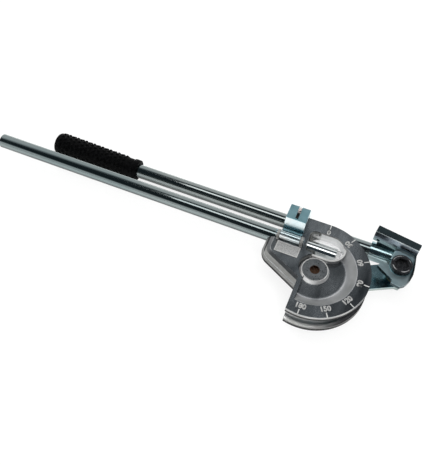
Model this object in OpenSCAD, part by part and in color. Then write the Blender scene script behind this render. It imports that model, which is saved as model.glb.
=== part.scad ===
// Two-handle tube bender, folded for transport: a semicircular former on a long handle,
// a link arm behind it, a sliding shoe with its own handle on the arm, and a flip-over tube hook.
// Millimetres. Modelled about the pivot: X along the handles towards the shoe, Y towards the
// 0 degree mark, Z out of the front face. The finished part is moved to the middle of its base.

/* [Workpiece] */
// Diameter of the tube that is bent
work_d = 18; // [12:0.5:18]
// Radial play of that tube in groove and shoe
work_gap = 0.3; // [0.2:0.05:0.6]

/* [Former] */
// Rim radius
former_r = 62; // [58:0.5:70]
// Rim outside the bent tube's axis
rim_lip = 0.5; // [0.3:0.1:1]
// How much tighter the curved groove is than the lead-in
bend_nip = 0.1; // [0.08:0.02:0.2]
// Thickness of the casting
former_t = 30; // [28:0.5:36]
// Straight lead-in before the 0 degree mark
lead_len = 50; // [48:0.5:56]
// How far the casting runs past the 180 degree mark
cut_back = 14; // [10:0.5:18]
// Corner radius of the heel
heel_r = 13; // [12:0.5:15]
// Heel corner centre behind the pivot
heel_x = 47; // [45:0.5:50]
// Heel corner centre above the pivot
heel_y = 9.4; // [8:0.2:11]
// Slope of the heel's lower edge
heel_slope = 27; // [24:1:32]
// Gap between the heel and the handle tube
heel_gap = 2; // [1:0.5:3]
// Thickness of the heel
heel_t = 15.6; // [14:0.2:18]
// How far the heel flares out below its edge
heel_flare = 5; // [3:0.5:6]
// Depth of the dished face
dish_d = 8; // [6:0.5:9]
// Radius of the dish at the front face
dish_r = 46.7; // [45:0.1:47.5]
// Slope of the dish wall
dish_slope = 35; // [30:1:45]
// Left wall of the dish, behind the pivot
dish_x = 9; // [7:0.5:11]
// Height of the raised ticks and frame
mark_h = 0.6; // [0.4:0.1:1]
// Length of the bare label frame
label_l = 27.5; // [24:0.5:28]
// Height of the bare label frame
label_h = 14; // [12:0.5:15]
// Width of its edge
label_edge = 1; // [0.8:0.1:1.5]

/* [Window] */
// Left end of the window, behind the pivot
window_left = 19; // [18:0.2:20]
// Right end of the window, past the pivot
window_right = 23.4; // [23:0.1:25]
// Width of the window
window_w = 30; // [27:0.5:30]
// Width of its rim
window_rim = 2.4; // [1.6:0.2:2.4]

/* [Handles] */
// Outside diameter of both handle tubes
tube_d = 18; // [16:0.5:18]
// Wall of both handle tubes
tube_wall = 2; // [1.5:0.25:3]
// Former handle axis above the pivot
handle_y = 32.5; // [31:0.5:34]
// Free end of the former handle, behind the pivot
handle_out = 438; // [380:1:520]
// End of the former handle inside the window, past the pivot
handle_in = 16; // [12:0.5:18]
// Lever tube axis above the pivot
lever_y = 74.4; // [73:0.2:76]
// Free end of the lever, behind the pivot
lever_out = 384; // [340:1:420]
// Gap between the lever tube and the former's back
lever_gap = 1; // [0.6:0.1:2]

/* [Grip] */
// Length of the grip
grip_len = 122; // [110:1:140]
// Outside diameter over the ribs
grip_d = 28.5; // [26:0.5:30]
// Depth of the grooves between the ribs
rib_h = 0.9; // [0.5:0.1:1.2]
// Number of ribs
rib_n = 13; // [10:1:15]

/* [Arm] */
// Pivot to shoe screw
arm_reach = 100; // [98:0.5:106]
// Direction of the arm as stored
arm_angle = 28.4; // [27:0.2:30]
// Width of the arm
arm_w = 31; // [28:0.5:31]
// Thickness of the arm
arm_t = 5; // [4:0.5:6]
// Radius of the eye at the pivot
eye_r = 18; // [16:0.5:20]
// Gap between the arm and the former's back
arm_gap = 1; // [0.6:0.1:1.5]

/* [Shoe] */
// Turn of the trough against the lever tube
shoe_skew = 9; // [7:0.5:11]
// Trough axis to shoe screw
trough_off = 34.1; // [33.5:0.2:35.5]
// Metal behind the trough
wall_t = 3.6; // [3:0.1:5]
// Shoe behind the screw, along the trough
shoe_back = 42.5; // [41:0.5:44]
// Shoe ahead of the screw, along the trough
shoe_front = 10; // [9:0.5:12]
// Outside diameter of the lever socket
socket_d = 23.5; // [22.5:0.5:25]
// Length of the lever socket
socket_len = 27; // [22:0.5:27]
// Thickness of the hub plate
hub_t = 5; // [4:0.5:6]
// Top of the hub plate under the shoe's top
hub_drop = 9.5; // [8:0.5:10]
// Gap between the shoe's lips and the former's rim
lip_gap = 0.8; // [0.5:0.1:1.5]
// Metal above the trough
lip_t = 2.7; // [2:0.1:4]

/* [Hook] */
// Right side of the hook, behind the pivot
hook_right = 26.5; // [26:0.1:27]
// Width of the hook
hook_w = 23.5; // [20:0.5:24]
// Hinge axis above the pivot
hinge_y = 24; // [23.5:0.1:25]
// Barrel diameter
barrel_d = 10; // [9:0.2:10.4]
// Gap between the hook and the front face
hook_gap = 1.2; // [0.8:0.1:1.6]
// Height of the ears above the front face
ear_h = 20.4; // [18:0.2:21]
// Depth of the ears across the tube
ear_l = 19.5; // [17:0.5:21]
// Thickness of the claw outside the tube
claw_t = 5.7; // [4.5:0.1:7]
// Width of the slot between the ears
slot_w = 3.5; // [3:0.1:5]

/* [Fasteners] */
// Pivot shank diameter
pivot_d = 16; // [14:0.5:17]
// Pivot head diameter
pivot_head_d = 28; // [25:0.5:28]
// Shoe screw diameter
screw_d = 16; // [14:0.5:16]
// Hinge pin diameter
pin_d = 5; // [4:0.2:5.4]
// Radial play of the turning joints
run_gap = 0.05; // [0.02:0.01:0.08]
// Axial play of the turning joints
end_gap = 0.15; // [0.1:0.05:0.3]

/* [Hidden] */
$fn = 96;
eps = 1;

groove_r = work_d / 2 + work_gap;
bend_r = former_r - rim_lip;
mid_z = -former_t / 2;
tube_r = tube_d / 2;
bore_r = tube_r - tube_wall;

// heel
heel_top = handle_y - tube_r - heel_gap;
heel_c = [-heel_x, heel_y];
heel_out = [cos(-90 - heel_slope), sin(-90 - heel_slope)];
heel_nip = 0.05;
heel_edge = 2.6;
bevel_w = 4.5;
bevel_h = 2.2;

// dish
dish_fillet = dish_d - 1;
dish_bands = 4;
moat_r = pivot_head_d / 2 + 4.6;
rim_z = -2;

// pivot boss and bolt
boss_top = -dish_d + 4.4;
boss_r = pivot_head_d / 2 + 1;
boss_flare = 2;
head_h = 4.8;
head_seat = boss_top - head_h - 0.2;
bush_wall = 2;

// levels behind the former
arm_top = -former_t - arm_gap;
arm_low = arm_top - arm_t;
lever_z = -former_t - lever_gap - tube_r;
grip_r = grip_d / 2;
base_z = lever_z - grip_r;

// shoe, in a frame at its screw
screw_x = arm_reach * cos(arm_angle);
screw_y = arm_reach * sin(arm_angle);
washer_t = 1;
flange_low = arm_top + washer_t + end_gap;
shoe_top = mid_z + groove_r + lip_t;
shoe_low = mid_z - groove_r - lip_t;
hub_top = shoe_top - hub_drop;
hub_r = screw_d / 2 + 5;
wall_off = trough_off - groove_r - wall_t;
lip_y = trough_off - rim_lip - lip_gap;
hub_tip = [hub_r + 3.3, -3];
hub_cheek = hub_r * [1.23, -0.9];
hub_heel = hub_r * [1.02, -1.57];
hub_foot = hub_r * [0.68, -1.93];
hub_sole = hub_r * [-0.11, -1.92];
hub_neck = hub_r * [-0.14, -1.61];
hub_nose = hub_r * [-1.74, -0.95];
hub_brow = hub_r * [1.13, 0.42];
socket_r = socket_d / 2;
socket_x = screw_x - shoe_back + 4.7;
lever_in = socket_x + socket_len - 2;

// shoe screw
screw_seat = hub_top + end_gap;
screw_head_h = screw_d * 0.3;
screw_head_r = screw_d * 0.75;
head_washer_t = 1;
nut_t = screw_d * 0.5;

// hook
barrel_r = barrel_d / 2;
hinge_z = hook_gap + barrel_r;
strap_z = hook_gap + 0.5;
hook_left = hook_right + hook_w;
rim_gap = 0.8;
claw_in = bend_r + groove_r + 0.3;
claw_out = claw_in + claw_t;
ear_back = claw_out - 18.6;
ear_front = ear_back - ear_l;
claw_low = mid_z - 5;
lug_t = 3.2;
lug_gap = 0.5;
lug_r = 4.6;

// middle of the base, for the part's origin
x_low = -handle_out;
x_high = screw_x + hub_tip[0] * cos(shoe_skew) + hub_tip[1] * sin(shoe_skew);
y_low = -former_r;
y_high = max(lever_y + grip_r, lever_y + socket_r);
origin = [(x_low + x_high) / 2, (y_low + y_high) / 2, base_z];

// Solid bar along X from x0 to x1 at height y, z
module bar_x(x0, x1, y, z, r) {
  translate([x0, y, z])
    rotate([0, 90, 0])
      cylinder(r = r, h = x1 - x0);
}

// Round bar along Z from z0 to z1
module post(z0, z1, r) {
  translate([0, 0, z0])
    cylinder(r = r, h = z1 - z0);
}

// Hexagon along Z, by its width across flats
module hex(z0, z1, flats) {
  translate([0, 0, z0])
    cylinder(d = flats / cos(30), h = z1 - z0, $fn = 6);
}

// Profile in Y and Z, drawn along X from x0 to x1
module along_x(x0, x1) {
  translate([x0, 0, 0])
    rotate([90, 0, 90])
      linear_extrude(x1 - x0)
        children();
}

// Plan of the full thickness: the half disc and the straight lead-in
module former_outline() {
  intersection() {
    circle(former_r);
    translate([-cut_back, -former_r - eps])
      square([cut_back + former_r + eps, 2 * (former_r + eps)]);
  }
  translate([-lead_len, heel_top])
    square([lead_len, former_r - heel_top]);
}

// Section of the heel's edge, bevelled above and flared below; outwards is -X
module heel_section(inner, low) {
  polygon([[inner, 0], [bevel_w, 0], [0, -bevel_h], [-heel_flare, heel_edge - heel_t],
           [-heel_flare, low], [inner, low]]);
}

// Straight stretch of that edge, from x0 to x1 along a direction through the corner's centre
module heel_run(angle, x0, x1, low) {
  translate(heel_c)
    rotate([0, 0, angle])
      along_x(x0, x1)
        translate([heel_nip - heel_r, 0])
          heel_section(heel_r + 2, low);
}

// Thin heel that carries the front face past the pivot: pieces of different depth, cut off flush
module heel() {
  core_r = heel_r - bevel_w - 1.5;
  core_tan = heel_c + core_r * heel_out;
  difference() {
    union() {
      translate([0, 0, -heel_t - eps])
        linear_extrude(heel_t + eps)
          polygon([[-heel_x - core_r, heel_top + eps], [0, heel_top + eps],
                   [0, core_tan[1] + core_tan[0] * tan(heel_slope)], core_tan, [-heel_x - core_r, heel_y]]);
      translate(heel_c)
        rotate([0, 0, 160])
          rotate_extrude(angle = 130 - heel_slope)
            translate([heel_r, 0])
              mirror([1, 0])
                heel_section(heel_r, -heel_t - 2 * eps);
      heel_run(-90, heel_y - heel_top, 0, -heel_t - 3 * eps);
      heel_run(-heel_slope, 0, (heel_x - cut_back / 2) / cos(heel_slope), -heel_t - 4 * eps);
    }
    translate([-2 * former_r, -former_r, -2 * former_t])
      cube([3 * former_r, 2 * former_r, 2 * former_t - heel_t]);
  }
}

// Section of the dish: a flat floor, a fillet in bands and a sloping wall
module dish_section() {
  z = dish_fillet - dish_d;
  c = [dish_r - (dish_fillet - cos(dish_slope) * z) / sin(dish_slope), z];
  step = dish_slope / dish_bands;
  fillet = [for (i = [dish_bands : -1 : 0]) c + dish_fillet * [sin(i * step), -cos(i * step)]];
  polygon(concat([[0, eps], [dish_r, eps], [dish_r, 0]], fillet, [[0, -dish_d]]));
}

// Dish in the front face, with a round end behind the pivot boss
module dish() {
  intersection() {
    rotate_extrude()
      dish_section();
    union() {
      translate([-dish_x, -former_r, -dish_d - eps])
        cube([2 * former_r, 2 * former_r, 2 * dish_d]);
      post(-dish_d - eps, dish_d, moat_r);
    }
  }
}

// Section of the groove, open on its outer side
module groove_section(r) {
  circle(r);
  translate([0, -r])
    square([rim_lip + 2 * r, 2 * r]);
}

// Plan of the window, grown by a margin
module window_outline(grow) {
  r = window_w / 2 + grow;
  corner = 6 + grow;
  y = handle_y;
  left = -window_left - grow;
  right = window_right + grow - r;
  translate([right, y])
    circle(r);
  translate([left + corner, y - r])
    square([right - left - corner, 2 * r]);
  translate([left, y - r + corner])
    square([corner, 2 * (r - corner)]);
  for (s = [-1, 1])
    translate([left + corner, y + s * (r - corner)])
      circle(corner);
}

// Two lugs on the front face that hold the hinge pin
module hook_lugs() {
  for (x = [-hook_right + lug_gap, -hook_left - lug_gap - lug_t])
    along_x(x, x + lug_t) {
      translate([hinge_y, hinge_z])
        circle(lug_r);
      translate([hinge_y - lug_r, -eps])
        square([2 * lug_r, hinge_z + eps]);
    }
}

// Raised ticks every thirty degrees, clockwise from the 0 mark, and the bare frame on the heel
module former_marks() {
  for (a = [0 : 30 : 180])
    rotate([0, 0, 90 - a])
      translate([former_r - 6.5, -0.6, -eps])
        cube([6, 1.2, mark_h + eps]);
  translate([-lead_len - 0.5, heel_top - 17.5, -eps])
    difference() {
      cube([label_l, label_h, mark_h + eps]);
      translate([label_edge, label_edge, 0])
        cube([label_l - 2 * label_edge, label_h - 2 * label_edge, mark_h + 2 * eps]);
    }
}

module former_segment() {
  color("silver")
    difference() {
      union() {
        difference() {
          union() {
            translate([0, 0, -former_t])
              linear_extrude(former_t)
                former_outline();
            heel();
          }
          dish();
        }
        // rim of the window and boss of the pivot, standing in the dish
        translate([0, 0, -dish_d - eps])
          linear_extrude(dish_d + rim_z + eps)
            window_outline(window_rim);
        translate([0, 0, -dish_d])
          cylinder(r1 = boss_r + boss_flare, r2 = boss_r, h = boss_top + dish_d);
        post(-dish_d - eps, -dish_d + eps / 10, boss_r);
        hook_lugs();
        former_marks();
      }
      // peripheral groove and its straight lead-in
      rotate([0, 0, -112])
        rotate_extrude(angle = 202)
          translate([bend_r, mid_z])
            groove_section(groove_r - bend_nip);
      along_x(-lead_len - eps, 1)
        translate([bend_r, mid_z])
          groove_section(groove_r);
      // handle socket and window
      bar_x(-lead_len - eps, handle_in + 5, handle_y, mid_z, tube_r);
      translate([0, 0, mid_z])
        linear_extrude(former_t)
          window_outline(0);
      // pivot bolt
      post(-former_t - eps, eps, pivot_d / 2);
      post(head_seat, eps, pivot_head_d / 2 + 0.2);
      // hinge pin and handle screw
      bar_x(-hook_left - 6, -hook_right + 6, hinge_y, hinge_z, pin_d / 2);
      translate([-lead_len + 14, handle_y, -former_t - eps])
        cylinder(r = 3, h = former_t / 2 - tube_r + 2 * eps);
    }
}

module handle_tube() {
  color("lightsteelblue")
    difference() {
      bar_x(-handle_out + 3, handle_in, handle_y, mid_z, tube_r);
      bar_x(-handle_out, handle_in + eps, handle_y, mid_z, bore_r);
    }
}

module handle_plug() {
  color("gray") {
    bar_x(-handle_out + 1, -handle_out + 3, handle_y, mid_z, tube_r);
    bar_x(-handle_out, -handle_out + 1 + eps, handle_y, mid_z, tube_r - 1);
    bar_x(-handle_out + 2, -handle_out + 18, handle_y, mid_z, bore_r);
  }
}

module handle_screw() {
  translate([-lead_len + 14, handle_y, 0])
    color("dimgray")
      difference() {
        post(-former_t + 0.4, mid_z - tube_r, 3);
        hex(-former_t, -former_t + 3, 3);
      }
}

module pivot_bolt() {
  color("dimgray")
    difference() {
      union() {
        post(head_seat, head_seat + head_h, pivot_head_d / 2);
        post(arm_low - 0.3, head_seat + eps, pivot_d / 2);
        post(base_z, arm_low, pivot_d / 2 - 2);
      }
      hex(head_seat + 1.2, boss_top + eps, 10);
    }
}

module pivot_washer() {
  color("lightsteelblue")
    difference() {
      post(arm_low - 2.3, arm_low - 0.3, 13);
      post(arm_low - 3, arm_low, pivot_d / 2 - 2);
    }
}

module pivot_jam_nut() {
  color("lightsteelblue")
    difference() {
      hex(arm_low - 8.3, arm_low - 2.3, 19);
      post(arm_low - 9, arm_low, pivot_d / 2 - 2);
    }
}

module pivot_nut() {
  color("lightsteelblue")
    difference() {
      hex(base_z + 1.2, arm_low - 8.3, 19);
      post(base_z, arm_low, pivot_d / 2 - 2);
    }
}

module hinge_pin() {
  head_x = -hook_left - lug_gap - lug_t;
  color("lightsteelblue") {
    bar_x(head_x, -hook_right + lug_gap + lug_t + 1.2, hinge_y, hinge_z, pin_d / 2);
    bar_x(head_x - 1.4, head_x, hinge_y, hinge_z, pin_d / 2 + 1.2);
  }
}

module hinge_clip() {
  clip_x = -hook_right + lug_gap + lug_t;
  color("dimgray")
    difference() {
      bar_x(clip_x, clip_x + 0.8, hinge_y, hinge_z, pin_d / 2 + 1);
      bar_x(clip_x - eps, clip_x + 2, hinge_y, hinge_z, pin_d / 2);
    }
}

module arm_plate() {
  color("lightsteelblue")
    difference() {
      translate([0, 0, arm_low])
        rotate([0, 0, arm_angle])
          linear_extrude(arm_t) {
            circle(eye_r);
            translate([0, -arm_w / 2])
              square([arm_reach, arm_w]);
            translate([arm_reach, 0])
              circle(arm_w / 2);
          }
      post(arm_low - eps, arm_top + eps, pivot_d / 2 + run_gap + bush_wall);
      translate([screw_x, screw_y, 0])
        post(arm_low - eps, arm_top + eps, screw_d / 2);
    }
}

module arm_bush() {
  color("darkgoldenrod")
    difference() {
      post(arm_low - 0.3 + end_gap, -former_t - end_gap, pivot_d / 2 + run_gap + bush_wall);
      post(arm_low - eps, -former_t + eps, pivot_d / 2 + run_gap);
    }
}

module swivel_washer() {
  translate([screw_x, screw_y, 0])
    color("darkgoldenrod")
      difference() {
        post(arm_top, arm_top + washer_t, screw_d / 2 + 5);
        post(arm_top - eps, arm_top + 2 * eps, screw_d / 2);
      }
}

module shoe_bolt() {
  head_low = screw_seat + head_washer_t;
  translate([screw_x, screw_y, 0])
    color("dimgray")
      difference() {
        union() {
          post(head_low, head_low + screw_head_h, screw_head_r);
          post(arm_low - nut_t - 1.5, head_low + eps, screw_d / 2);
        }
        hex(head_low, head_low + screw_head_h + eps, screw_d * 0.875);
      }
}

module shoe_washer() {
  translate([screw_x, screw_y, 0])
    color("lightsteelblue")
      difference() {
        post(screw_seat, screw_seat + head_washer_t, screw_head_r + 1);
        post(screw_seat - eps, screw_seat + 2 * eps, screw_d / 2);
      }
}

module shoe_nut() {
  translate([screw_x, screw_y, 0])
    color("lightsteelblue")
      difference() {
        hex(arm_low - nut_t, arm_low, screw_d * 1.5);
        post(arm_low - nut_t - eps, arm_low + eps, screw_d / 2);
      }
}

// Places its children in the shoe's own frame at the shoe screw
module at_shoe(z) {
  translate([screw_x, screw_y, z])
    rotate([0, 0, -shoe_skew])
      children();
}

// Section of the shoe across the trough, cut away below so that the lever socket lies clear
module shoe_section() {
  polygon([[lip_y, shoe_top], [wall_off + 2.8, shoe_top], [wall_off, shoe_top - 6], [wall_off, mid_z - 3],
           [wall_off + 7.3, shoe_low], [lip_y, shoe_low]]);
}

// Plan of the hub plate around the shoe screw
module hub_outline() {
  polygon([[-hub_r + 1, -5], [hub_nose[0] + 1.3, -6], hub_nose, hub_neck, hub_sole, hub_foot, hub_heel,
           hub_cheek, hub_tip, hub_brow, [hub_r, 12], [shoe_front, wall_off + 1.5], [-9, wall_off + 1.5],
           [-hub_r + 0.5, 4]]);
}

module shoe_body() {
  color("lightsteelblue")
    difference() {
      union() {
        at_shoe(0)
          along_x(-shoe_back, shoe_front)
            shoe_section();
        at_shoe(hub_top - hub_t)
          linear_extrude(hub_t)
            hub_outline();
        at_shoe(0)
          post(flange_low, hub_top - eps, hub_r);
        bar_x(socket_x, socket_x + socket_len, lever_y, lever_z, socket_r);
        // web between the trough and the socket
        at_shoe(lever_z)
          translate([-shoe_back + 5, lip_y - 4.2, 0])
            cube([socket_len - 4, 4, shoe_low - lever_z + eps]);
      }
      at_shoe(mid_z)
        bar_x(-shoe_back - eps, shoe_front + eps, trough_off, 0, groove_r);
      at_shoe(0)
        post(flange_low - eps, hub_top + eps, screw_d / 2 + run_gap + bush_wall);
      bar_x(socket_x - eps, lever_in, lever_y, lever_z, tube_r);
      // index dimple in the front wall
      at_shoe(mid_z)
        translate([-shoe_back + 6, wall_off - eps, 0])
          rotate([-90, 0, 0])
            cylinder(r = 2, h = 1.5 + eps);
      // lever screw
      translate([socket_x + socket_len / 2, lever_y, lever_z - socket_r - eps])
        cylinder(r = 3, h = socket_r - tube_r + 2 * eps);
    }
}

module shoe_bush() {
  at_shoe(0)
    color("darkgoldenrod")
      difference() {
        post(flange_low, hub_top, screw_d / 2 + run_gap + bush_wall);
        post(flange_low - eps, hub_top + eps, screw_d / 2 + run_gap);
      }
}

module lever_tube() {
  color("lightsteelblue")
    difference() {
      bar_x(-lever_out + 3, lever_in, lever_y, lever_z, tube_r);
      bar_x(-lever_out, lever_in + eps, lever_y, lever_z, bore_r);
    }
}

module lever_screw() {
  translate([socket_x + socket_len / 2, lever_y, 0])
    color("dimgray")
      difference() {
        post(lever_z - socket_r + 0.5, lever_z - tube_r, 3);
        hex(lever_z - socket_r, lever_z - socket_r + 2, 3);
      }
}

// Closed rubber sleeve with rings, turned about the lever axis
module lever_grip() {
  pitch = (grip_len - 12) / rib_n;
  core_r = grip_r - rib_h;
  color("black")
    translate([-lever_out, lever_y, lever_z])
      rotate([0, 90, 0])
        difference() {
          union() {
            translate([0, 0, 4])
              cylinder(r = core_r, h = grip_len - 4);
            cylinder(r1 = core_r - 4, r2 = core_r, h = 4);
            for (i = [0 : rib_n - 1])
              translate([0, 0, 8 + i * pitch])
                cylinder(r = grip_r, h = pitch * 0.58);
          }
          translate([0, 0, 3])
            cylinder(r = tube_r, h = grip_len);
        }
}

module hook_body() {
  neck_z = hinge_z + 0.6;
  slot_x = -hook_right - (hook_w + slot_w) / 2;
  color("lightsteelblue")
    difference() {
      union() {
        bar_x(-hook_left, -hook_right, hinge_y, hinge_z, barrel_r);
        along_x(-hook_left, -hook_right)
          polygon([[hinge_y, strap_z], [hinge_y, neck_z], [ear_front - 6.1, neck_z], [ear_front, ear_h],
                   [ear_back, ear_h], [claw_out, mid_z + 10], [claw_out, claw_low],
                   [former_r + rim_gap, claw_low], [former_r + rim_gap, strap_z]]);
      }
      bar_x(-hook_left - eps, -hook_right + eps, hinge_y, hinge_z, pin_d / 2 + run_gap);
      bar_x(-hook_left - eps, -hook_right + eps, bend_r, mid_z, groove_r + 0.3);
      translate([slot_x, ear_front + 2, claw_low - eps])
        cube([slot_w, former_r, ear_h - claw_low + 2 * eps]);
    }
}

module hook_pad() {
  color("rosybrown")
    along_x(-hook_right - (hook_w + slot_w) / 2, -hook_right - (hook_w - slot_w) / 2) {
      translate([ear_back - 5, ear_h - 1.5])
        circle(4);
      translate([ear_back - 9, strap_z])
        square([8, ear_h - 1.5 - strap_z]);
    }
}

// Moves the part from the pivot to the middle of its base
module to_base() {
  translate(-origin)
    children();
}

to_base() former_segment();
to_base() handle_tube();
to_base() handle_plug();
to_base() handle_screw();
to_base() pivot_bolt();
to_base() pivot_washer();
to_base() pivot_jam_nut();
to_base() pivot_nut();
to_base() hinge_pin();
to_base() hinge_clip();
to_base() arm_plate();
to_base() arm_bush();
to_base() swivel_washer();
to_base() shoe_bolt();
to_base() shoe_washer();
to_base() shoe_nut();
to_base() shoe_body();
to_base() shoe_bush();
to_base() lever_tube();
to_base() lever_screw();
to_base() lever_grip();
to_base() hook_body();
to_base() hook_pad();
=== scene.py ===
import math

import bpy
from mathutils import Euler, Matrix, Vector


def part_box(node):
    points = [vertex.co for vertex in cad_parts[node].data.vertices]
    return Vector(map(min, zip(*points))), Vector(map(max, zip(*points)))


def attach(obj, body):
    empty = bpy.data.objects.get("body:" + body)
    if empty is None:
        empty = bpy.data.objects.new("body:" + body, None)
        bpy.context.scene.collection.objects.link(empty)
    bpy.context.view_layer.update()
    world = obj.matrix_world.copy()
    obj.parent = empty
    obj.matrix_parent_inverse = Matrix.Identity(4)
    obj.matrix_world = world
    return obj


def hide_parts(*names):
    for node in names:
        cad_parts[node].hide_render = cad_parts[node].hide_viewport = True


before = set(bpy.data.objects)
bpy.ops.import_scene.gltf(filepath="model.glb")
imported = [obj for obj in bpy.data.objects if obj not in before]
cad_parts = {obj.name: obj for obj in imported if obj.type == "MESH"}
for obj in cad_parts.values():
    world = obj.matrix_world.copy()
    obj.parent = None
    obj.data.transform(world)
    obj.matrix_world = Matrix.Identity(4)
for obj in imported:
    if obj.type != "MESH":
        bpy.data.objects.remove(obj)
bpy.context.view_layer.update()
bpy.context.scene.view_settings.view_transform = "Standard"


# Viewpoint: the tool lies on its back and is seen from above, over the arc of its former,
# from about 0.7 m away, with the shoe at the right edge of the picture.
heading = math.radians(23.339)
bpy.ops.object.camera_add(
    location=(0.198780, -0.374260, 0.641892),
    rotation=(math.radians(33.662), math.radians(0.165), heading),
)
camera = bpy.context.object
camera.data.lens = 47.39
camera.data.sensor_width = 36
camera.data.clip_start = 0.01
bpy.context.scene.camera = camera


# Studio: a white table, white walls that stand higher behind the tool than before it, and a
# dark ceiling with one long soft lamp, so that plated steel shows the bands that it has.
def figure(tree, operation, *values):
    """One sum on plain numbers and on what other nodes give."""
    node = tree.nodes.new("ShaderNodeMath")
    node.operation = operation
    for socket, value in zip(node.inputs, values):
        if isinstance(value, bpy.types.NodeSocket):
            tree.links.new(value, socket)
        else:
            socket.default_value = value
    return node.outputs[0]


def path_share(tree, camera_part, mirror_part):
    """How much of a ray is the camera's own or a mirror reflection, weighted for each."""
    path = tree.nodes.new("ShaderNodeLightPath").outputs
    seen = figure(tree, "MULTIPLY", path["Is Camera Ray"], camera_part)
    mirrored = figure(tree, "MAXIMUM", path["Is Glossy Ray"], path["Is Transmission Ray"])
    return figure(tree, "MULTIPLY_ADD", mirrored, mirror_part, seen)


def shown_over(tree, share, plain, shown):
    """Shows one shader instead of a plain one to that share of the rays."""
    mix = tree.nodes.new("ShaderNodeMixShader")
    tree.links.new(share, mix.inputs["Fac"])
    tree.links.new(plain.outputs[0], mix.inputs[1])
    tree.links.new(shown.outputs[0], mix.inputs[2])
    return mix.outputs[0]


room = bpy.data.worlds.new("room")
bpy.context.scene.world = room
room.use_nodes = True
tree = room.node_tree
tree.nodes.clear()
sight = tree.nodes.new("ShaderNodeTexCoord").outputs["Generated"]
split = tree.nodes.new("ShaderNodeSeparateXYZ")
tree.links.new(sight, split.inputs[0])
ahead = tree.nodes.new("ShaderNodeVectorMath")
ahead.operation = "DOT_PRODUCT"
ahead.inputs[1].default_value = (-math.sin(heading), math.cos(heading), 0)
tree.links.new(sight, ahead.inputs[0])
lift_turn, lift_rise = 0.3, 0.22
wall_lift = tree.nodes.new("ShaderNodeMapRange")
for end, side in (("Min", -1), ("Max", 1)):
    wall_lift.inputs["From " + end].default_value = side * lift_turn
    wall_lift.inputs["To " + end].default_value = side * lift_rise
tree.links.new(ahead.outputs["Value"], wall_lift.inputs["Value"])
above_wall = figure(tree, "SUBTRACT", split.outputs["Z"], wall_lift.outputs[0])
left_drop = 0.2
wall_height = figure(tree, "MULTIPLY_ADD", split.outputs["X"], left_drop, above_wall)
wall_tones = (
    # height and colour, from the white of the walls up to the dark of the ceiling
    (0.44, (1, 1, 1)),
    (0.54, (0.34, 0.37, 0.38)),
    (0.615, (0.085, 0.10, 0.11)),
    (0.68, (0.026, 0.036, 0.043)),
)
walls = tree.nodes.new("ShaderNodeValToRGB")
stops = walls.color_ramp.elements
stops[0].position, stops[1].position = wall_tones[0][0], wall_tones[-1][0]
for height, _ in wall_tones[1:-1]:
    stops.new(height)
for stop, (_, colour) in zip(stops, wall_tones):
    stop.color = (*colour, 1)
tree.links.new(wall_height, walls.inputs[0])
seen_room = tree.nodes.new("ShaderNodeBackground")
tree.links.new(walls.outputs[0], seen_room.inputs["Color"])
fill_light = tree.nodes.new("ShaderNodeBackground")
fill_light.inputs["Color"].default_value = (0.95, 0.98, 1, 1)
fill_light.inputs["Strength"].default_value = 0.42
world_out = tree.nodes.new("ShaderNodeOutputWorld")
lit_room = shown_over(tree, path_share(tree, 1, 1), fill_light, seen_room)
tree.links.new(lit_room, world_out.inputs["Surface"])

table_width, table_gap = 6, 0.0002
bpy.ops.object.select_all(action="DESELECT")
bpy.ops.mesh.primitive_plane_add(size=table_width, location=(0, 0, -table_gap))
table = bpy.context.object
table.name = "table_top"
table_white = bpy.data.materials.new("table_white")
table_white.use_nodes = True
tree = table_white.node_tree
tree.nodes.clear()
paint = tree.nodes.new("ShaderNodeBsdfDiffuse")
paint.inputs["Color"].default_value = (0.88, 0.88, 0.87, 1)
glow = tree.nodes.new("ShaderNodeEmission")
glow.inputs["Color"].default_value = (1, 1, 1, 1)
table_out = tree.nodes.new("ShaderNodeOutputMaterial")
lit_table = shown_over(tree, path_share(tree, 0.82, 0.12), paint, glow)
tree.links.new(lit_table, table_out.inputs["Surface"])
table.data.materials.append(table_white)


def hang_lamp(name, place, width, depth, power, aimed=False, mirrored=False):
    """A soft lamp over the table, facing straight down unless it is aimed at the middle."""
    place = Vector(place)
    facing = (-place).to_track_quat("-Z", "Y").to_euler() if aimed else (0, 0, 0)
    bpy.ops.object.light_add(type="AREA", location=place, rotation=facing)
    lamp = bpy.context.object
    lamp.name = name
    lamp.data.shape = "RECTANGLE"
    lamp.data.size = width
    lamp.data.size_y = depth
    lamp.data.energy = power
    lamp.visible_glossy = mirrored


hang_lamp("strip_lamp", (0.175, 0.03, 1.25), 1.15, 0.42, 3.8, mirrored=True)
hang_lamp("top_lamp", (0.10, 0.05, 1.5), 1.2, 0.8, 5)
hang_lamp("front_lamp", (0.30, -0.60, 1.2), 0.8, 0.5, 12, aimed=True)
hang_lamp("key_lamp", (-0.85, 0.95, 1.2), 0.7, 0.7, 14, aimed=True)


# Former: one aluminium casting. Its front ring and the floor of its dish are ground, its flanks
# keep a grainy cast skin, its groove is turned, and rims and marks are lighter, partly rubbed and
# partly painted highlight. Painted shade darkens its rim lips, heel foot, face ends and the far
# end of its groove; its window walls and boss carry painted reflection.
def start_finish(name, metallic=1):
    """A new material with its main shader, and the Object coordinates that patterns use."""
    finish = bpy.data.materials.new(name)
    finish.use_nodes = True
    shader = finish.node_tree.nodes["Principled BSDF"]
    shader.inputs["Metallic"].default_value = metallic
    place = finish.node_tree.nodes.new("ShaderNodeTexCoord")
    return finish, shader, place.outputs["Object"]


def axes_on(finish, place):
    """The three coordinates of a place, each on its own."""
    split = finish.node_tree.nodes.new("ShaderNodeSeparateXYZ")
    finish.node_tree.links.new(place, split.inputs[0])
    return split.outputs


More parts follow.
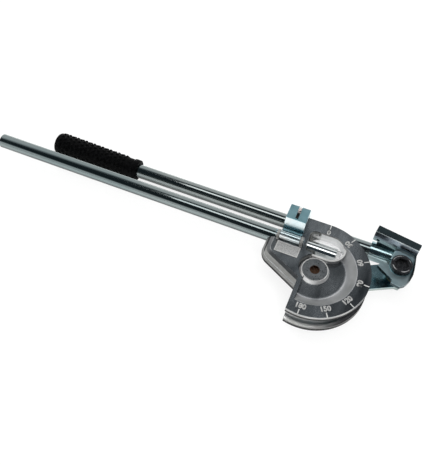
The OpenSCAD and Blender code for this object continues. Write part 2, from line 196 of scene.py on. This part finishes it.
def noise_on(finish, place, scale, detail, stretch=(1, 1, 1)):
    """A cloudy pattern of that scale per metre, drawn out along an axis with a small stretch."""
    nodes, links = finish.node_tree.nodes, finish.node_tree.links
    turn = nodes.new("ShaderNodeMapping")
    turn.inputs["Scale"].default_value = stretch
    links.new(place, turn.inputs["Vector"])
    cloud = nodes.new("ShaderNodeTexNoise")
    cloud.inputs["Scale"].default_value = scale
    cloud.inputs["Detail"].default_value = detail
    links.new(turn.outputs[0], cloud.inputs["Vector"])
    return cloud.outputs["Fac"]


def ramp_on(finish, pattern, low, high, low_colour, high_colour):
    """Turns a pattern into a run from one colour to another between two of its levels."""
    ramp = finish.node_tree.nodes.new("ShaderNodeValToRGB")
    ends = ramp.color_ramp.elements
    for end, position, colour in ((ends[0], low, low_colour), (ends[1], high, high_colour)):
        end.position = position
        end.color = (*colour, 1)
    finish.node_tree.links.new(pattern, ramp.inputs[0])
    return ramp.outputs[0]


def grey_on(finish, pattern, low, high, low_grey, high_grey):
    """The same between two greys, for roughness."""
    return ramp_on(finish, pattern, low, high, (low_grey,) * 3, (high_grey,) * 3)


def bump_on(finish, shader, pattern, strength, depth):
    """Lets a pattern raise the surface by up to depth metres."""
    bump = finish.node_tree.nodes.new("ShaderNodeBump")
    bump.inputs["Strength"].default_value = strength
    bump.inputs["Distance"].default_value = depth
    finish.node_tree.links.new(pattern, bump.inputs["Height"])
    finish.node_tree.links.new(bump.outputs[0], shader.inputs["Normal"])


def coat_on(finish, shader, tone, dull):
    """Gives the main shader its colour and its roughness."""
    finish.node_tree.links.new(tone, shader.inputs["Base Color"])
    finish.node_tree.links.new(dull, shader.inputs["Roughness"])


def join_on(finish, operation, masks):
    """One mask from several, taken two at a time."""
    whole, *others = masks
    for mask in others:
        whole = figure(finish.node_tree, operation, whole, mask)
    return whole


def both_on(finish, *masks):
    """The part of a surface that every one of these masks covers."""
    return join_on(finish, "MULTIPLY", masks)


def either_on(finish, *masks):
    """The part of a surface that any of these masks covers."""
    return join_on(finish, "MAXIMUM", masks)


def between_on(finish, value, low, high, soft=0.00012):
    """A mask that is set where a value lies between two limits, with soft edges."""
    sides = []
    for start, end in ((low - soft, low + soft), (high + soft, high - soft)):
        side = finish.node_tree.nodes.new("ShaderNodeMapRange")
        side.inputs["From Min"].default_value = start
        side.inputs["From Max"].default_value = end
        finish.node_tree.links.new(value, side.inputs["Value"])
        sides.append(side.outputs[0])
    return both_on(finish, *sides)


def zone_on(finish, *limits):
    """The part of a surface where each value lies between its own limits."""
    return both_on(finish, *(between_on(finish, *limit) for limit in limits))


def radius_on(finish, place, centre):
    """How far a point lies from the upright line through a centre."""
    nodes, links = finish.node_tree.nodes, finish.node_tree.links
    for operation, other in (("SUBTRACT", centre), ("MULTIPLY", (1, 1, 0))):
        flat = nodes.new("ShaderNodeVectorMath")
        flat.operation = operation
        flat.inputs[1].default_value = other
        links.new(place, flat.inputs[0])
        place = flat.outputs["Vector"]
    length = nodes.new("ShaderNodeVectorMath")
    length.operation = "LENGTH"
    links.new(place, length.inputs[0])
    return length.outputs["Value"]


def over_on(finish, mask, under, over):
    """Lays one colour over another where a mask is set."""
    mix = finish.node_tree.nodes.new("ShaderNodeMix")
    mix.data_type = "RGBA"
    factor, first_colour, second_colour, colour_out = 0, 6, 7, 2
    finish.node_tree.links.new(mask, mix.inputs[factor])
    finish.node_tree.links.new(under, mix.inputs[first_colour])
    finish.node_tree.links.new(over, mix.inputs[second_colour])
    return mix.outputs[colour_out]


def dress(finish, *nodes):
    """Gives each of these CAD nodes one finish all over."""
    for node in nodes:
        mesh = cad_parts[node].data
        mesh.materials.clear()
        mesh.materials.append(finish)


pivot = Vector((0.167203, -0.013325, 0.05425))
face_level = pivot.z
rim_radius = 0.062
past_rim = 0.08  # farther from the pivot than any of the casting
dish_depth = 0.008
dish_radius = 0.0469
dish_side, round_side = -0.0092, -0.016
boss_foot, boss_top, boss_depth = 0.0184, 0.0147, 0.0038
window_left, window_right, window_across = -0.004, 0.0084, 0.0325
skin = 0.0003  # half of the layer that counts as lying on a flat face
far = 1  # past the end of every piece

cast, shader, place = start_finish("cast_aluminium")
tree = cast.node_tree
split = axes_on(cast, place)
along = figure(tree, "SUBTRACT", split["X"], pivot.x)
across = figure(tree, "SUBTRACT", split["Y"], pivot.y)
depth = figure(tree, "SUBTRACT", face_level, split["Z"])
reach = radius_on(cast, place, pivot)
grain = noise_on(cast, place, 700, 5)
clouds = noise_on(cast, place, 60, 5)
streaks = noise_on(cast, place, 70, 6, (1, 0.35, 1))
turning = noise_on(cast, place, 900, 3, (0.03, 0.03, 1))


def window_reach():
    """How far a point lies from the middle line of the window, seen from the front."""
    nearest = tree.nodes.new("ShaderNodeClamp")
    nearest.inputs["Min"].default_value = window_left
    nearest.inputs["Max"].default_value = window_right
    tree.links.new(along, nearest.inputs["Value"])
    foot = tree.nodes.new("ShaderNodeCombineXYZ")
    foot.inputs["Y"].default_value = window_across
    tree.links.new(nearest.outputs[0], foot.inputs["X"])
    flat_place = tree.nodes.new("ShaderNodeCombineXYZ")
    tree.links.new(along, flat_place.inputs["X"])
    tree.links.new(across, flat_place.inputs["Y"])
    gap = tree.nodes.new("ShaderNodeVectorMath")
    gap.operation = "DISTANCE"
    tree.links.new(flat_place.outputs[0], gap.inputs[0])
    tree.links.new(foot.outputs[0], gap.inputs[1])
    return gap.outputs["Value"]


# Each limit of a zone is a measure with its lowest and highest value, in metres from the pivot
# or below the face, and where the edge is blurred, by how much.
from_window = window_reach()
face = zone_on(cast, (depth, -skin, skin))
dish_floor = zone_on(cast, (depth, dish_depth - skin, dish_depth + skin))
ground = either_on(cast, face, dish_floor)
# painted shade: the ground face is darker towards both ends of the former
shaded_face_ends = either_on(
    cast,
    zone_on(cast, (along, 0.034, far, 0.012)),
    zone_on(cast, (along, -far, -0.047, 0.006)),
)
shaded_face = both_on(cast, face, shaded_face_ends)
dish_wall = zone_on(
    cast,
    (depth, 0.0001, dish_depth),
    (reach, boss_foot + 0.0002, dish_radius),
    (along, dish_side, far),
)
dish_foot = zone_on(
    cast,
    (depth, dish_depth - 0.0028, dish_depth + 0.003, 0.0022),
    (reach, 0, dish_radius - skin),
    (along, dish_side, far),
)
heel_bevel = zone_on(cast, (depth, 0.00025, 0.00215), (along, -far, -0.0095))
label_field = both_on(
    cast, face, zone_on(cast, (along, -0.0496, -0.0239), (across, 0.0049, 0.0171)),
)
groove_depths = (depth, 0.0058, 0.0252)
groove_edge = rim_radius - 0.0002
turned = either_on(
    cast,
    zone_on(cast, groove_depths, (reach, 0.045, groove_edge), (along, round_side, far)),
    zone_on(cast, groove_depths, (across, 0.05, groove_edge)),
)
# painted shade: the groove is darker at its far end, where it turns away
shaded_groove_end = both_on(cast, turned, zone_on(cast, (along, 0.032, far, 0.014)))
# painted shade: the lips of the rim, the step into the dish and the foot of the heel are painted
# near black, as edges in shadow
front_lip = zone_on(cast, (depth, 0.0021, 0.0076), (reach, rim_radius - 0.0016, past_rim))
rear_lip = zone_on(cast, (depth, 0.0257, far), (reach, rim_radius - 0.002, past_rim))
dish_step = zone_on(
    cast,
    (depth, 0.0004, dish_depth - 0.0004),
    (along, dish_side - 0.0002, dish_side + 0.0006),
)
heel_foot = zone_on(
    cast,
    (depth, 0.0121, far, 0.0005),
    (along, -far, -0.0139, 0.0005),
    (across, -far, 0.012, 0.0005),
)
shaded_edges = either_on(cast, front_lip, rear_lip, dish_step, heel_foot)
# painted reflection: the walls inside the window are pale and matt, standing for the bright
# reflection on them
window_wall = zone_on(cast, (depth, 0.0023, far), (from_window, 0, 0.0153))
boss_side = zone_on(
    cast, (depth, boss_depth, dish_depth - 0.0002), (reach, boss_top, boss_foot),
)
# painted highlight on the lower left of the boss's side
boss_highlight = both_on(
    cast, boss_side,
    zone_on(cast, (along, -0.012, 0.003, 0.005), (across, -far, -0.007, 0.005)),
)
# the raised marks and thin lines along the rims are lighter: partly rubbed, partly painted
# highlight of rounded edges catching light
raised_marks = zone_on(cast, (depth, -0.002, -0.0004))
front_rim = zone_on(
    cast,
    (depth, -0.0001, 0.0022),
    (reach, rim_radius - 0.0009, past_rim),
    (along, round_side, far),
    (across, -far, -0.022, 0.012),
)
window_rim = zone_on(cast, (depth, 0.0018, 0.0022), (from_window, 0.0148, 0.0178))
boss_rim = zone_on(cast, (depth, boss_depth - 0.0004, boss_depth), (reach, 0.0138, 0.0156))
rubbed_and_edge_highlights = either_on(cast, raised_marks, front_rim, window_rim, boss_rim)
finishes = (
    # zone, darker and lighter colour, pattern of the colour, smoother and rougher level
    (None, (0.17, 0.17, 0.164), (0.27, 0.27, 0.26), clouds, 0.44, 0.6),
    (turned, (0.54, 0.54, 0.53), (0.86, 0.86, 0.85), turning, 0.28, 0.46),
    (shaded_groove_end, (0.05, 0.05, 0.052), (0.16, 0.16, 0.165), turning, 0.34, 0.5),
    (dish_wall, (0.17, 0.175, 0.175), (0.27, 0.275, 0.275), clouds, 0.4, 0.55),
    (dish_foot, (0.12, 0.125, 0.13), (0.30, 0.305, 0.31), streaks, 0.26, 0.34),
    (ground, (0.22, 0.235, 0.25), (0.74, 0.75, 0.77), streaks, 0.18, 0.23),
    (shaded_face, (0.13, 0.14, 0.15), (0.47, 0.48, 0.495), streaks, 0.18, 0.23),
    (dish_floor, (0.14, 0.15, 0.158), (0.46, 0.47, 0.485), streaks, 0.2, 0.26),
    (heel_bevel, (0.11, 0.115, 0.12), (0.19, 0.195, 0.20), clouds, 0.3, 0.4),
    (label_field, (0.14, 0.14, 0.14), (0.40, 0.40, 0.395), grain, 0.45, 0.6),
    (window_wall, (0.70, 0.70, 0.70), (0.95, 0.95, 0.95), turning, 0.3, 0.42),
    (boss_side, (0.30, 0.30, 0.30), (0.46, 0.46, 0.46), clouds, 0.3, 0.4),
    (boss_highlight, (0.80, 0.80, 0.79), (0.95, 0.95, 0.94), clouds, 0.3, 0.4),
    (shaded_edges, (0.012, 0.012, 0.013), (0.04, 0.04, 0.042), clouds, 0.45, 0.65),
    (rubbed_and_edge_highlights, (0.26, 0.26, 0.255), (0.46, 0.46, 0.45), clouds, 0.4, 0.6),
)
tone, dull = None, None
for zone, dark, light, pattern, smooth, rough in finishes:
    zone_tone = ramp_on(cast, pattern, 0.3, 0.72, dark, light)
    zone_dull = grey_on(cast, grain, 0.3, 0.7, smooth, rough)
    tone = zone_tone if zone is None else over_on(cast, zone, tone, zone_tone)
    dull = zone_dull if zone is None else over_on(cast, zone, dull, zone_dull)
coat_on(cast, shader, tone, dull)
machined = either_on(cast, ground, turned, heel_bevel)
pale = either_on(cast, window_wall, boss_side, label_field, rubbed_and_edge_highlights)
bright_metal = figure(tree, "MULTIPLY_ADD", machined, 0.5, 0.5)
dulled_metal = figure(tree, "MULTIPLY_ADD", pale, -0.7, 1)
tree.links.new(both_on(cast, bright_metal, dulled_metal), shader.inputs["Metallic"])
# painted shade also takes gloss off the dark edges and the groove's far end
shaded_parts = either_on(cast, shaded_edges, shaded_groove_end)
gloss = figure(tree, "MULTIPLY_ADD", shaded_parts, -0.42, 0.5)
tree.links.new(gloss, shader.inputs["Specular IOR Level"])
rough_skin = figure(tree, "SUBTRACT", 1, either_on(cast, ground, heel_bevel))
bump_on(cast, shader, both_on(cast, grain, rough_skin), 0.14, 0.0003)
dress(cast, "former_segment")


# Degree numerals: cast proud of the face in one piece with the former, one at each tick
# from 0 to 180, their tops towards the pivot.
numeral_radius = 0.0512
numeral_height = 0.0082
stroke_gain = 0.00022
half_relief = 0.0006
edge_rounding = 0.00012
numerals = []
for degree in range(0, 181, 30):
    turn = math.radians(degree)
    bpy.ops.object.select_all(action="DESELECT")
    bpy.ops.object.text_add(
        location=pivot + Vector((math.sin(turn), math.cos(turn), 0)) * numeral_radius,
        rotation=(0, 0, math.pi - turn),
    )
    number = bpy.context.object
    number.data.body = str(degree)
    number.data.size = numeral_height
    number.data.offset = stroke_gain
    number.data.extrude = half_relief
    number.data.bevel_depth = edge_rounding
    number.data.align_x = "CENTER"
    number.data.align_y = "CENTER"
    bpy.ops.object.convert(target="MESH")
    numerals.append(number)


def join_pieces(parts, name):
    """Makes one mesh of several, with its place in the mesh, and names it."""
    bpy.ops.object.select_all(action="DESELECT")
    for part in parts:
        part.select_set(True)
    bpy.context.view_layer.objects.active = parts[0]
    bpy.ops.object.join()
    bpy.ops.object.transform_apply(location=True, rotation=True, scale=True)
    bpy.context.object.name = name
    return bpy.context.object


degree_numerals = join_pieces(numerals, "degree_numerals")
raised, shader, place = start_finish("raised_numerals", 0.35)
wear = noise_on(raised, place, 500, 4)
coat_on(
    raised, shader,
    ramp_on(raised, wear, 0.3, 0.7, (0.23, 0.23, 0.226), (0.40, 0.40, 0.39)),
    grey_on(raised, wear, 0.3, 0.7, 0.42, 0.62),
)
bump_on(raised, shader, noise_on(raised, place, 700, 3), 0.5, 0.0004)
degree_numerals.data.materials.append(raised)
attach(degree_numerals, "former")


# Handles: two drawn steel tubes, zinc plated and blue passivated, pressed into the former
# and into the shoe. The plate has lengthwise drawing lines and a faint colour bloom; painted shade
# darkens their undersides, and a painted highlight lightens the handle's end in the window.
tube_zinc, shader, place = start_finish("zinc_on_tube")
split = axes_on(tube_zinc, place)
bloom_clouds = noise_on(tube_zinc, place, 16, 3, (0.4, 1, 1))
bloom = ramp_on(tube_zinc, bloom_clouds, 0.35, 0.68, (0.205, 0.25, 0.255), (0.275, 0.30, 0.295))
handle_foot = 0.025
# painted shade: the handle's underside and the lever's lower half are darker, for the shadowed
# table and the other tube seen in them
shaded_undersides = (
    # lowest and highest level painted darker as shade, its softness, darker and lighter tone
    (handle_foot, 0.0395, 0.0016, (0.045, 0.055, 0.058), (0.085, 0.095, 0.095)),
    (-0.001, 0.0165, 0.0022, (0.095, 0.11, 0.112), (0.145, 0.155, 0.15)),
)
shade_mottle = noise_on(tube_zinc, place, 90, 4, (0.2, 1, 1))
for low, high, soft, dark, light in shaded_undersides:
    underside_shade = between_on(tube_zinc, split["Z"], low, high, soft)
    shade = ramp_on(tube_zinc, shade_mottle, 0.3, 0.7, dark, light)
    bloom = over_on(tube_zinc, underside_shade, bloom, shade)
# painted highlight: the handle's end inside the window is lighter, for the bright reflection it
# shows there
in_window = zone_on(
    tube_zinc, (split["X"], pivot.x - 0.022, far, 0.001), (split["Z"], handle_foot, far),
)
sheen_mottle = noise_on(tube_zinc, place, 60, 4)
window_end_sheen = ramp_on(tube_zinc, sheen_mottle, 0.3, 0.7, (0.62, 0.67, 0.68), (0.86, 0.88, 0.87))
lines = noise_on(tube_zinc, place, 900, 4, (0.012, 1, 1))
coat_on(
    tube_zinc, shader,
    over_on(tube_zinc, in_window, bloom, window_end_sheen),
    grey_on(tube_zinc, lines, 0.3, 0.75, 0.06, 0.18),
)
bump_on(tube_zinc, shader, lines, 0.05, 0.0002)
dress(tube_zinc, "handle_tube", "handle_plug", "lever_tube")


# Pivot: a dark low-head socket bolt in the former's boss, with a plated washer and two
# plated nuts locked against each other behind the arm.
steel, shader, place = start_finish("dark_steel")
stains = noise_on(steel, place, 120, 5)
stained_steel = ramp_on(steel, stains, 0.3, 0.74, (0.20, 0.21, 0.22), (0.32, 0.33, 0.34))
rust_spots = noise_on(steel, place, 400, 4)
rust = ramp_on(steel, rust_spots, 0.3, 0.7, (0.07, 0.04, 0.028), (0.20, 0.11, 0.07))
socket_radius = 0.0056
socket = between_on(steel, radius_on(steel, place, pivot), -far, socket_radius)
coat_on(
    steel, shader,
    over_on(steel, socket, stained_steel, rust),
    grey_on(steel, noise_on(steel, place, 600, 3), 0.3, 0.7, 0.24, 0.4),
)
bump_on(steel, shader, noise_on(steel, place, 500, 3), 0.02, 0.0002)
dress(steel, "pivot_bolt", "handle_screw", "lever_screw", "hinge_clip")


def zinc_plate(name, dark, light, smooth, rough, zones=()):
    """Zinc on forged or rolled steel: a blue-green bloom, and a faint unevenness under it.

    Each zone gives other tones and roughness to what lies between limits along the axes."""
    finish, shader, place = start_finish(name)
    split = axes_on(finish, place)
    cloud = noise_on(finish, place, 40, 4)
    pits = noise_on(finish, place, 110, 5)
    bloom = ramp_on(finish, cloud, 0.3, 0.7, dark, light)
    dull = grey_on(finish, pits, 0.3, 0.72, smooth, rough)
    for limits, dark, light, smooth, rough in zones:
        mask = zone_on(finish, *((split[axis], *limit) for axis, *limit in limits))
        bloom = over_on(finish, mask, bloom, ramp_on(finish, cloud, 0.3, 0.7, dark, light))
        dull = over_on(finish, mask, dull, grey_on(finish, pits, 0.3, 0.72, smooth, rough))
    coat_on(finish, shader, bloom, dull)
    bump_on(finish, shader, pits, 0.03, 0.0003)
    return finish


crisp = 0.0001  # the softness of a zone that ends at an edge
arm_level = face_level - 0.031
plate_zones = (
    # limits along the axes, darker and lighter tone, smoother and rougher level, here for the
    # cut edge of the arm and all that lies behind its front
    ([("Z", -0.001, arm_level - 0.0005, crisp)],
     (0.30, 0.37, 0.36), (0.46, 0.50, 0.48), 0.2, 0.32),
)
plate_zinc = zinc_plate(
    "zinc_on_plate", (0.34, 0.62, 0.69), (0.57, 0.76, 0.79), 0.12, 0.24, plate_zones,
)
dress(plate_zinc, "pivot_washer", "pivot_jam_nut", "pivot_nut")


# Tube hook: a forked steel forging, zinc plated, that flips over on its pin, with a pale
# bare lug riveted between its ears.
ear_top = face_level + 0.0204
band_foot, band_top = 0.058, face_level + 0.0112
hook_shade_zones = (
    # painted shade on the ears' tops, and a band of painted shade on the side away from the pivot;
    # the pale base colour stands for the lit front
    ([("Z", ear_top - 0.0004, ear_top + 0.001, crisp)],
     (0.26, 0.47, 0.53), (0.36, 0.58, 0.64), 0.28, 0.4),
    ([("Z", band_foot, band_top, 0.0012), ("Y", pivot.y + 0.0213, far, 0.0012)],
     (0.13, 0.22, 0.25), (0.26, 0.38, 0.42), 0.16, 0.26),
)
hook_zinc = zinc_plate(
    "zinc_on_hook", (0.72, 0.88, 0.91), (0.97, 0.98, 0.98), 0.26, 0.42, hook_shade_zones,
)
dress(hook_zinc, "hook_body", "hinge_pin")
bare, shader, place = start_finish("bare_aluminium")
shader.inputs["Base Color"].default_value = (0.78, 0.70, 0.67, 1)
brushed = noise_on(bare, place, 700, 4, (1, 1, 0.05))
brush_dull = grey_on(bare, brushed, 0.3, 0.7, 0.3, 0.5)
bare.node_tree.links.new(brush_dull, shader.inputs["Roughness"])
bump_on(bare, shader, brushed, 0.1, 0.0002)
dress(bare, "hook_pad")


# Arm: a flat plated steel link that swings behind the former on a bronze bush, and carries
# the black cap screw that the shoe turns on.
dress(plate_zinc, "arm_plate", "shoe_washer", "shoe_nut")
bronze, shader, place = start_finish("sintered_bronze")
shader.inputs["Roughness"].default_value = 0.42
pores = noise_on(bronze, place, 1500, 4)
bronze_tone = ramp_on(bronze, pores, 0.35, 0.65, (0.42, 0.29, 0.15), (0.66, 0.48, 0.26))
bronze.node_tree.links.new(bronze_tone, shader.inputs["Base Color"])
bump_on(bronze, shader, pores, 0.3, 0.0002)
dress(bronze, "arm_bush", "swivel_washer", "shoe_bush")
oxide, shader, place = start_finish("black_oxide", 0.85)
screw_axis = Vector((0.255168, 0.034237, 0))
# the ring at the cap's rim is partly worn and partly painted glint, bright in uneven arcs
rim_from, rim_to = 0.0098, 0.0108
spots = noise_on(oxide, place, 300, 5)
black = ramp_on(oxide, spots, 0.45, 0.8, (0.030, 0.031, 0.034), (0.09, 0.09, 0.095))
patches = noise_on(oxide, place, 110, 3)
wear_and_glint = ramp_on(oxide, patches, 0.45, 0.62, (0.05, 0.05, 0.055), (0.70, 0.70, 0.70))
rim_wear_and_glint = between_on(oxide, radius_on(oxide, place, screw_axis), rim_from, rim_to)
coat_on(
    oxide, shader,
    over_on(oxide, rim_wear_and_glint, black, wear_and_glint),
    grey_on(oxide, noise_on(oxide, place, 500, 3), 0.3, 0.7, 0.2, 0.4),
)
dress(oxide, "shoe_bolt")


# Shoe: a plated steel forging with a half-round trough on its outer side, a hub plate on the
# cap screw and the socket that the lever tube is pressed into.
trough_top = face_level - 0.003
trough_line = face_level - 0.0043
hub_level = face_level - 0.0125
shoe_skew = math.radians(9)
shoe_tone_and_light_zones = (
    # painted shade on the trough's top, a painted highlight on the line below it, painted shade on
    # its wall, then the hub's face, and painted shadow on the hub's far edge and side
    ([("Z", trough_top - 0.0004, trough_top + 0.0004, crisp)],
     (0.06, 0.09, 0.10), (0.15, 0.19, 0.20), 0.1, 0.2),
    ([("Z", trough_line, trough_top - 0.0004, crisp)],
     (0.62, 0.72, 0.75), (0.86, 0.91, 0.92), 0.3, 0.45),
    ([("Z", hub_level + 0.0006, trough_line, crisp)],
     (0.19, 0.25, 0.31), (0.36, 0.42, 0.47), 0.14, 0.24),
    ([("Z", hub_level - 0.0004, hub_level + 0.0004, crisp)],
     (0.33, 0.46, 0.49), (0.50, 0.58, 0.60), 0.3, 0.46),
    ([("Z", hub_level - 0.0006, hub_level + 0.0006, crisp), ("X", 0.2672, far, 0.0014)],
     (0.02, 0.03, 0.033), (0.06, 0.08, 0.085), 0.25, 0.4),
    ([("Z", hub_level - 0.0056, hub_level - 0.0006, crisp),
      ("Y", -far, 0.05, crisp), ("X", 0.235, far, crisp)],
     (0.03, 0.05, 0.055), (0.08, 0.11, 0.12), 0.2, 0.35),
)
shoe_zinc = zinc_plate(
    "zinc_on_shoe", (0.27, 0.43, 0.47), (0.50, 0.58, 0.59), 0.12, 0.22, shoe_tone_and_light_zones,
)
dress(shoe_zinc, "shoe_body")


# Shoe web: a plated strip welded in beside the hub plate, which closes the slit between it,
# the trough's wall and the end of the socket.
web_size = Vector((0.0052, 0.0186, 0.0044))
web_drop = 0.0003
web_rounding = 0.0006
web_place = Vector((-0.0114, 0.0131, 0))
web_place.rotate(Euler((0, 0, -shoe_skew)))
web_place.z = hub_level - web_drop - web_size.z / 2
bpy.ops.object.select_all(action="DESELECT")
bpy.ops.mesh.primitive_cube_add(
    size=1, scale=web_size, rotation=(0, 0, -shoe_skew), location=screw_axis + web_place,
)
shoe_web = bpy.context.object
shoe_web.name = "shoe_web"
bpy.ops.object.transform_apply(location=True, rotation=True, scale=True)
edge = shoe_web.modifiers.new("edge", "BEVEL")
edge.width = web_rounding
edge.segments = 2
bpy.ops.object.modifier_apply(modifier="edge")
crease = math.radians(40)
bpy.ops.object.shade_smooth_by_angle(angle=crease)
shoe_web.data.materials.append(shoe_zinc)
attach(shoe_web, "lever")


# Grip: a black rubber sleeve pushed over the lever tube to its closed end, where it is a
# little stouter, with a plain collar and rings of rounded studs moulded all round it.
grip_low, grip_high = (Vector(corner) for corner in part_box("lever_grip"))
grip_axis = (grip_low + grip_high) / 2
grip_radius = (grip_high.z - grip_low.z) / 2
grip_length = grip_high.x - grip_low.x
grip_swell = 0.0016
stud_height = 0.0016
collar_length, collar_lap = 0.008, 0.002
collar_inset = 0.0003
sleeve_rounding, collar_rounding = 0.004, 0.0012


def swell(x):
    """How much stouter than its collar the grip is at a place along it."""
    return grip_swell * (grip_high.x - x) / grip_length


def sleeve(name, x0, x1, radius, rounding):
    """A round bar along the grip with rounded ends, level below, that swells to its closed end."""
    middle = (x0 + x1) / 2
    bpy.ops.object.select_all(action="DESELECT")
    bpy.ops.mesh.primitive_cone_add(
        vertices=64, radius1=radius + swell(x0), radius2=radius + swell(x1), depth=x1 - x0,
        location=(middle, grip_axis.y, grip_axis.z + swell(middle)),
        rotation=(0, math.pi / 2 + grip_swell / grip_length, 0),
    )
    bar = bpy.context.object
    bar.name = name
    soft = bar.modifiers.new("soft", "BEVEL")
    soft.width = rounding
    soft.segments = 4
    soft.limit_method = "ANGLE"
    bpy.ops.object.modifier_apply(modifier="soft")
    return bar


collar_start = grip_high.x - collar_length
grip_parts = [
    sleeve("grip_sleeve", grip_low.x, collar_start + collar_lap,
           grip_radius - stud_height, sleeve_rounding),
    sleeve("grip_collar", collar_start, grip_high.x,
           grip_radius - collar_inset, collar_rounding),
]
stud_radius = 0.0026
stud_pitch = 0.0062
studs_round = 14
first_ring = 0.008
bare_length = 0.018
stud_rings = int((grip_length - bare_length) / stud_pitch)
bpy.ops.object.select_all(action="DESELECT")
bpy.ops.mesh.primitive_uv_sphere_add(segments=8, ring_count=5, radius=stud_radius)
first_stud = bpy.context.object
for ring in range(stud_rings):
    ring_place = grip_low.x + first_ring + ring * stud_pitch
    middle = Vector((ring_place, grip_axis.y, grip_axis.z + swell(ring_place)))
    for step in range(studs_round):
        stud = first_stud
        if ring or step:
            stud = first_stud.copy()
            stud.data = first_stud.data.copy()
            bpy.context.collection.objects.link(stud)
        turn = 2 * math.pi * (step + ring % 2 / 2) / studs_round
        out = Vector((0, math.cos(turn), math.sin(turn)))
        stud.location = middle + out * (grip_radius + swell(ring_place) - stud_radius)
        stud.rotation_euler = (turn - math.pi / 2, 0, 0)
        grip_parts.append(stud)
studded_grip = join_pieces(grip_parts, "studded_grip")
bpy.ops.object.shade_smooth_by_angle(angle=crease)
rubber, shader, place = start_finish("grip_rubber", 0)
shader.inputs["Specular IOR Level"].default_value = 0.035
dust = noise_on(rubber, place, 350, 5)
coat_on(
    rubber, shader,
    ramp_on(rubber, dust, 0.4, 0.8, (0.001, 0.001, 0.0011), (0.004, 0.004, 0.0043)),
    grey_on(rubber, dust, 0.3, 0.7, 0.40, 0.6),
)
bump_on(rubber, shader, noise_on(rubber, place, 1800, 3), 0.3, 0.0002)
studded_grip.data.materials.append(rubber)
dress(rubber, "lever_grip")
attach(studded_grip, "lever")
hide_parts("lever_grip")
